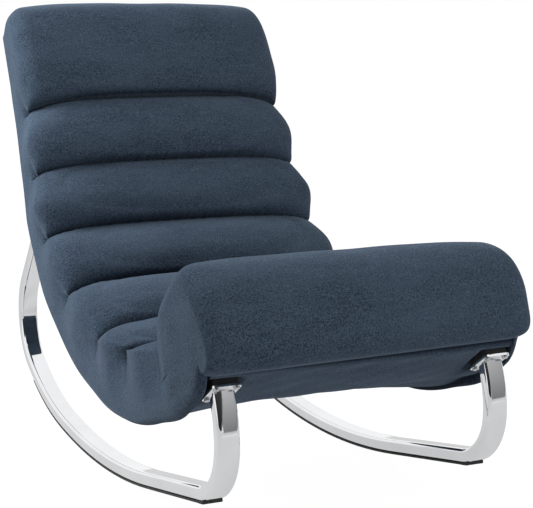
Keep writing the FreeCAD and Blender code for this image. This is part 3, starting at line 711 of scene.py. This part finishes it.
def chrome():
    """Polished chrome with a faint waviness and a few dull smears."""
    m = Shader("chrome")
    smear = m.noise(9.0, 5.0, 0.65)
    ripple = m.noise(14.0, 1.0, 0.4)
    colour = m.mix(m.span(smear, 0.35, 0.7), (0.86, 0.87, 0.885, 1), (0.80, 0.81, 0.83, 1))
    m.set(Metallic=1.0, Base_Color=colour, Roughness=m.span(smear, 0.3, 0.75, 0.035, 0.085))
    m.set(Normal=m.bump(ripple, 0.05, 0.002))
    return m.material


def rubber():
    """Black strip rubber with fine grain and grey scuffs."""
    m = Shader("rubber")
    grain = m.noise(900.0, 2.0)
    scuffs = m.noise(60.0, 6.0, 0.7)
    colour = m.mix(m.span(scuffs, 0.5, 0.75), (0.016, 0.016, 0.017, 1), (0.060, 0.060, 0.063, 1))
    m.set(Base_Color=colour, Roughness=m.span(scuffs, 0.3, 0.7, 0.55, 0.8), Normal=m.bump(grain, 0.2, 0.0004))
    return m.material


def moulded_plastic():
    """Black moulded plastic with a light spark-eroded texture."""
    m = Shader("moulded_plastic")
    grain = m.noise(1400.0, 2.0)
    wear = m.noise(45.0, 3.0)
    colour = m.mix(m.span(wear, 0.4, 0.7), (0.012, 0.012, 0.013, 1), (0.026, 0.026, 0.028, 1))
    m.set(Base_Color=colour, Roughness=m.span(wear, 0.3, 0.7, 0.42, 0.6), Normal=m.bump(grain, 0.15, 0.0003))
    return m.material


def plywood():
    """Pale birch plywood with long grain."""
    m = Shader("plywood")
    stretch = m.node("Mapping", {"Vector": m.coordinates, "Scale": (2.0, 40.0, 40.0)}).outputs["Vector"]
    grain = m.noise(4.0, 6.0, 0.65, stretch)
    colour = m.mix(m.span(grain, 0.3, 0.7), (0.42, 0.28, 0.15, 1), (0.62, 0.45, 0.27, 1))
    m.set(Base_Color=colour, Roughness=m.span(grain, 0.3, 0.7, 0.5, 0.7), Normal=m.bump(grain, 0.1, 0.0005))
    return m.material


def webbing():
    """Black elastic webbing with a ribbed weave."""
    m = Shader("webbing")
    weave = m.node("TexWave", {"Scale": 160.0, "Distortion": 1.0, "Vector": m.coordinates}).outputs["Fac"]
    colour = m.mix(weave, (0.010, 0.010, 0.010, 1), (0.035, 0.034, 0.032, 1))
    m.set(Base_Color=colour, Roughness=m.span(weave, 0.0, 1.0, 0.7, 0.9), Normal=m.bump(weave, 0.4, 0.0006))
    return m.material


def zinc():
    """Zinc-plated fasteners with a dull, slightly cloudy plating."""
    m = Shader("zinc")
    cloud = m.noise(120.0, 4.0, 0.6)
    colour = m.mix(m.span(cloud, 0.3, 0.7), (0.50, 0.51, 0.52, 1), (0.68, 0.69, 0.70, 1))
    m.set(Metallic=1.0, Base_Color=colour, Roughness=m.span(cloud, 0.3, 0.7, 0.22, 0.4))
    return m.material


# Stage


def aimed(obj, place, target):
    obj.location = place
    obj.rotation_euler = (Vector(target) - Vector(place)).to_track_quat("-Z", "Y").to_euler()


def area_light(name, place, target, size, power, spread=180):
    data = bpy.data.lights.new(name, "AREA")
    data.shape = "RECTANGLE"
    data.size, data.size_y = size
    data.energy = power
    data.spread = math.radians(spread)
    lamp = link(name, data)
    lamp.visible_glossy = False
    aimed(lamp, place, target)


def floor():
    mesh = bpy.data.meshes.new("floor")
    mesh.from_pydata([(-40, -40, 0), (40, -40, 0), (40, 40, 0), (-40, 40, 0)], [], [(0, 1, 2, 3)])
    piece = link("floor", mesh)
    m = Shader("pale_floor")
    cloud = m.noise(3.0, 3.0)
    m.set(Base_Color=m.mix(cloud, (0.58, 0.58, 0.58, 1), (0.62, 0.62, 0.62, 1)), Roughness=0.75)
    path = m.node("LightPath")
    white = m.node("Emission", {"Color": (1, 1, 1, 1), "Strength": 1.31})
    grey = m.node("Emission", {"Color": (1, 1, 1, 1), "Strength": 0.78})
    surface = m.shader.outputs[0]
    for ray, light, share in (("Is Camera Ray", white, 0.74), ("Is Glossy Ray", grey, 0.80)):
        blend = m.node("MixShader")
        m.put(blend.inputs[0], m.math("MULTIPLY", path.outputs[ray], share))
        m.put(blend.inputs[1], surface)
        m.put(blend.inputs[2], light.outputs[0])
        surface = blend.outputs[0]
    m.put(m.tree.nodes["Material Output"].inputs["Surface"], surface)
    mesh.materials.append(m.material)


def world():
    """White to the camera and in reflections, and a dimmer fill light to everything else."""
    data = bpy.data.worlds.new("studio")
    bpy.context.scene.world = data
    data.use_nodes = True
    tree = data.node_tree
    path = tree.nodes.new("ShaderNodeLightPath")
    shown = path.outputs["Is Camera Ray"]
    for name in ("Is Glossy Ray", "Is Transmission Ray"):
        either = tree.nodes.new("ShaderNodeMath")
        either.operation = "MAXIMUM"
        tree.links.new(shown, either.inputs[0])
        tree.links.new(path.outputs[name], either.inputs[1])
        shown = either.outputs[0]
    strength = tree.nodes.new("ShaderNodeMapRange")
    strength.inputs["To Min"].default_value = 0.22
    strength.inputs["To Max"].default_value = 1.0
    tree.links.new(shown, strength.inputs["Value"])
    tree.links.new(strength.outputs["Result"], tree.nodes["Background"].inputs["Strength"])
    tree.nodes["Background"].inputs["Color"].default_value = (1, 1, 1, 1)


def camera():
    data = bpy.data.cameras.new("photo_view")
    data.sensor_fit = "HORIZONTAL"
    data.sensor_width = 36.0
    data.lens = CAMERA_LENS
    view = link("photo_view", data)
    view.location = CAMERA_PLACE
    level = Euler((math.radians(CAMERA_TILT), 0, math.radians(CAMERA_TURN))).to_matrix()
    view.rotation_euler = (level @ Matrix.Rotation(math.radians(CAMERA_ROLL), 3, "Z")).to_euler()
    bpy.context.scene.camera = view


def card(name, place, target, size, grey):
    """Plain studio card out of the camera's sight, for the chrome to reflect."""
    mesh = bpy.data.meshes.new(name)
    x, y = size[0] / 2, size[1] / 2
    mesh.from_pydata([(-x, -y, 0), (x, -y, 0), (x, y, 0), (-x, y, 0)], [], [(0, 1, 2, 3)])
    piece = link(name, mesh)
    aimed(piece, place, target)
    m = Shader(name)
    up = m.node("SeparateXYZ", {"Vector": m.coordinates}).outputs["Y"]
    paint = m.node("Emission", {"Strength": m.span(up, -y, y, 0.35 * grey, grey)})
    m.put(m.tree.nodes["Material Output"].inputs["Surface"], paint.outputs[0])
    mesh.materials.append(m.material)
    piece.visible_camera = piece.visible_diffuse = piece.visible_shadow = False


def stage():
    floor()
    world()
    camera()
    area_light("key", (-1.8, 1.1, 1.7), (-0.3, 0.34, 0.66), (1.2, 1.2), 12.5, 62)
    area_light("top", (-0.2, -0.9, 3.2), (0, -0.2, 0.4), (2.0, 2.0), 32)
    area_light("fill", (1.2, -3.4, 0.5), (0, -0.1, 0.4), (1.8, 0.9), 31)
    card("grey_card", (4.6, -4.6, 2.2), (-0.25, -0.55, 0.25), (9.5, 5.2), 0.54)
    card("dark_card", (-1.69, -3.96, 1.9), (-0.25, -0.55, 0.25), (6.4, 3.6), 0.05)
    bpy.context.scene.view_settings.view_transform = "Standard"


# Assembly


def roll_shapes():
    shapes = [head_profiles()] + [roll_profiles(number) for number in range(1, 7)] + [foot_profiles()]
    return {name: roll_points(profiles) for name, profiles in zip(ROLLS, shapes)}


def dress(piece, node, material):
    """A piece takes a CAD node's place, with its material, and rides on the chair."""
    piece.data.materials.append(material)
    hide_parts(node)
    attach(piece, "root")


def upholstery(fabric):
    pads = {name: padded_piece("soft_" + name, points) for name, points in roll_shapes().items()}
    pads["side_pad_left"] = side_band("soft_side_pad_left", -1)
    pads["side_pad_right"] = side_band("soft_side_pad_right", 1)
    puff(pads.values())
    for node, piece in pads.items():
        subdivided(piece)
        sewn(piece)
        dress(piece, node, fabric)
    panel = back_panel("soft_back_cover")
    dress(panel, "back_cover", fabric)


def hard_parts(metal):
    for name, x in (("left", -RUNNER_X), ("right", RUNNER_X)):
        dress(runner("bent_tube_" + name, x), "runner_tube_" + name, metal)
    finishes = {
        "chromed_steel": metal, "strip_rubber": rubber(), "spacer_plastic": moulded_plastic(),
        "frame_wood": plywood(), "webbing": webbing(), "zinc_steel": zinc(),
    }
    for entry in frame["record"]["subparts"]:
        node = frame["nodes"][entry["node"]]
        if entry["material_slot"] in finishes:
            node.data.materials.clear()
            node.data.materials.append(finishes[entry["material_slot"]])


upholstery(chenille())
hard_parts(chrome())
stage()
